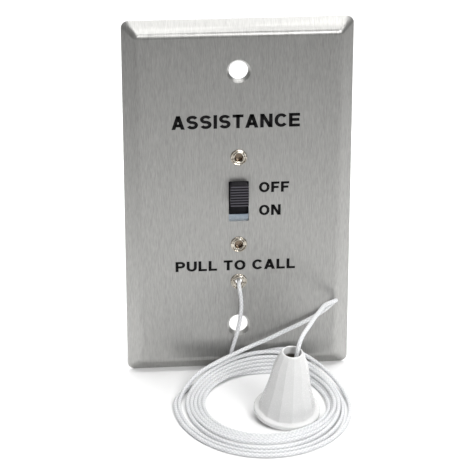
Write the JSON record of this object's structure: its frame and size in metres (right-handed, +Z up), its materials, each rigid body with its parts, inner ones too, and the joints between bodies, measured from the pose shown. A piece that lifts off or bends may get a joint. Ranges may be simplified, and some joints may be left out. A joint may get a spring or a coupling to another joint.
{
  "type": "pull cord switch",
  "caption": "Pull cord switch on a brushed steel wall plate: ribbed slide knob, cord through an eyelet, and a flat-sided pull bell.",
  "frame": {"origin": "middle of the wall plate's rim, on the wall surface", "axes": "+Z up the wall, +Y into the wall, so the plate's face looks along -Y, and +X to the right seen from the front"},
  "size_m": [0.0698, 0.0752, 0.1142],
  "materials": {
    "stainless": "vertical brushed grain",
    "nickel": "bright nickel plate",
    "zinc_steel": "blue zinc plate",
    "phenolic": "brown paper laminate",
    "tinned_brass": "tinned brass",
    "black_nylon": "moulded satin",
    "bronze": "rolled phosphor bronze",
    "spring_steel": "drawn wire",
    "ball_steel": "polished",
    "cord": "braided nylon",
    "white_plastic": "moulded satin gloss"
  },
  "bodies": {
    "plate": {"wall_plate": "stainless", "upper_rivet": "nickel", "lower_rivet": "nickel", "cord_eyelet": "nickel", "switch_frame": "zinc_steel", "terminal_board": "phenolic", "terminal_upper_left": "tinned_brass", "terminal_upper_right": "tinned_brass", "terminal_middle_left": "tinned_brass", "terminal_middle_right": "tinned_brass", "terminal_lower_left": "tinned_brass", "terminal_lower_right": "tinned_brass", "cord_inner_run": "cord", "cord_lead": "cord", "cord_coil": "cord", "cord_tail": "cord", "cord_end_knot": "cord"},
    "slider": {"slider_knob": "black_nylon", "contact_clip_left": "bronze", "contact_clip_right": "bronze", "detent_spring": "spring_steel", "detent_ball_left": "ball_steel", "detent_ball_right": "ball_steel", "cord_inner_knot": "cord"},
    "bell": {"pull_bell": "white_plastic"}
  },
  "joints": [
    {"name": "slider_slide", "type": "slide", "parent": "plate", "child": "slider", "axis": [0, 0, -1], "range_m": [0, 0.0037], "deforming": ["cord_inner_run"]},
    {"name": "bell_spin", "type": "hinge", "parent": "plate", "child": "bell", "pos_m": [0.01165, -0.0371, -0.0552], "axis": [0.0471, -0.1957, 0.9795], "continuous": true}
  ]
}
